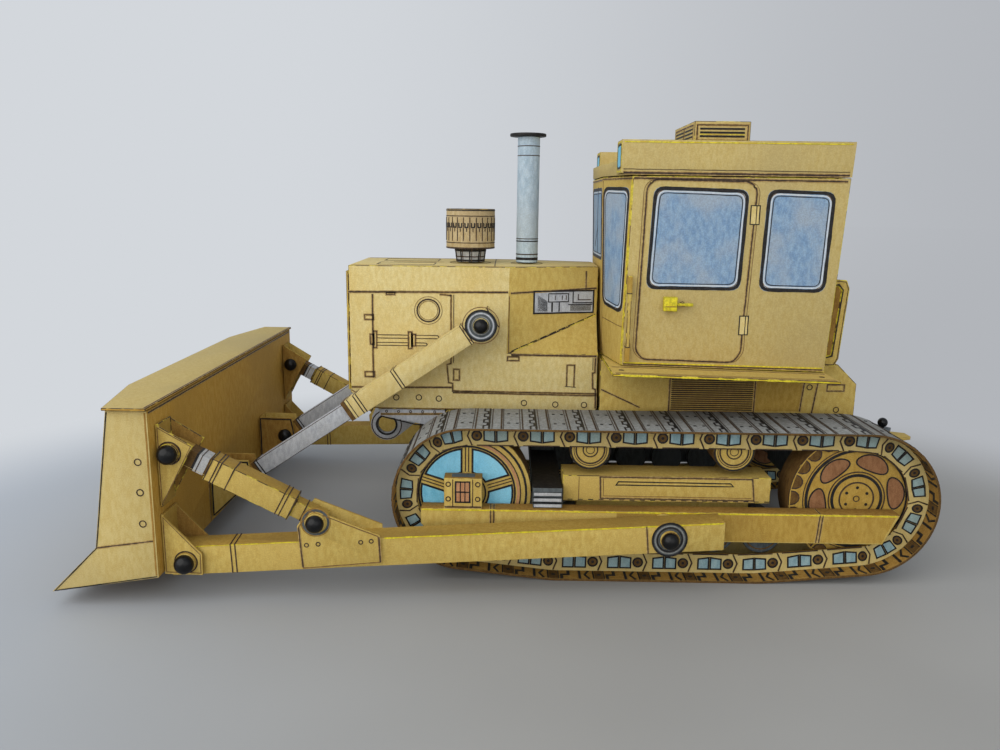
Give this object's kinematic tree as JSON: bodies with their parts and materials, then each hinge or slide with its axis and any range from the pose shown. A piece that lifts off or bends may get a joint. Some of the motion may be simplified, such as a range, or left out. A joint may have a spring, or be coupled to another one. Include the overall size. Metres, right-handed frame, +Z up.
{
  "type": "card model bulldozer",
  "caption": "Small glued-card model of a tracked bulldozer with a blade on push arms that lifts on two telescoping card cylinders.",
  "frame": {"origin": "on the table under the middle of the model's box, on the centre line", "axes": "+X forward to the blade, +Y to the model's left, +Z up"},
  "size_m": [0.2808, 0.157, 0.1444],
  "materials": {
    "yellow_card": "matte coloured pencil on card",
    "grey_card": "matte coloured pencil on card",
    "silver_card": "matte pale grey pencil on card",
    "dark_card": "matte black ink on card",
    "brown_card": "matte brown pencil on card",
    "blue_card": "matte blue pencil on card",
    "ink_line": "matte dark ink lines on card",
    "pin_black": "glossy black pin head"
  },
  "bodies": {
    "machine": {"air_cleaner": "yellow_card", "cab_roof": "yellow_card", "cab_shell": "yellow_card", "carrier_roller_front_left": "yellow_card", "carrier_roller_front_right": "yellow_card", "carrier_roller_rear_left": "yellow_card", "carrier_roller_rear_right": "yellow_card", "door_handle_left": "yellow_card", "door_handle_right": "yellow_card", "equaliser_bar": "dark_card", "exhaust_stack": "silver_card", "fender_plate": "yellow_card", "frame_box_left": "yellow_card", "frame_box_right": "yellow_card", "front_tow_hook": "grey_card", "grab_bar_left": "yellow_card", "grab_bar_right": "yellow_card", "hood": "yellow_card", "hull": "yellow_card", "idler_left": "yellow_card", "idler_right": "yellow_card", "lower_rollers_left": "dark_card", "lower_rollers_right": "dark_card", "radiator_grille": "yellow_card", "rear_axle": "dark_card", "rear_handrail_left": "yellow_card", "rear_handrail_right": "yellow_card", "rear_hitch": "yellow_card", "roof_vent": "yellow_card", "sprocket_left": "yellow_card", "sprocket_right": "yellow_card", "track_loop_left": "grey_card", "track_loop_right": "grey_card", "track_rail_left": "yellow_card", "track_rail_right": "yellow_card"},
    "blade_frame": {"arm_bracket_left": "yellow_card", "arm_bracket_right": "yellow_card", "blade": "yellow_card", "blade_top_plate": "yellow_card", "lift_bracket_left": "yellow_card", "lift_bracket_right": "yellow_card", "push_arm_left": "yellow_card", "push_arm_right": "yellow_card", "strut_bracket_left": "yellow_card", "strut_bracket_right": "yellow_card", "strut_left": "yellow_card", "strut_right": "yellow_card"},
    "left_barrel": {"lift_barrel_left": "yellow_card"},
    "left_rod": {"lift_rod_left": "silver_card"},
    "right_barrel": {"lift_barrel_right": "yellow_card"},
    "right_rod": {"lift_rod_right": "silver_card"}
  },
  "joints": [
    {"name": "blade_lift", "type": "hinge", "parent": "machine", "child": "blade_frame", "pos_m": [-0.0406, 0, 0.0184], "axis": [0, -1, 0], "range_deg": [-1.3, 15]},
    {"name": "left_barrel_swing", "type": "hinge", "parent": "machine", "child": "left_barrel", "pos_m": [0.0176, 0.0285, 0.0781], "axis": [0, -1, 0], "range_deg": [-2, 20]},
    {"name": "left_rod_slide", "type": "slide", "parent": "left_barrel", "child": "left_rod", "axis": [0.8316, 0, -0.5554], "range_m": [-0.022, 0.002]},
    {"name": "right_barrel_swing", "type": "hinge", "parent": "machine", "child": "right_barrel", "pos_m": [0.0176, -0.0285, 0.0781], "axis": [0, -1, 0], "range_deg": [-2, 20]},
    {"name": "right_rod_slide", "type": "slide", "parent": "right_barrel", "child": "right_rod", "axis": [0.8316, 0, -0.5554], "range_m": [-0.022, 0.002]}
  ],
  "couplings": [
    {"joint": "left_barrel_swing", "follows": "blade_lift", "ratio": 1.299},
    {"joint": "left_rod_slide", "follows": "blade_lift", "m_per_rad": -0.0787},
    {"joint": "right_barrel_swing", "follows": "blade_lift", "ratio": 1.299},
    {"joint": "right_rod_slide", "follows": "blade_lift", "m_per_rad": -0.0787}
  ]
}
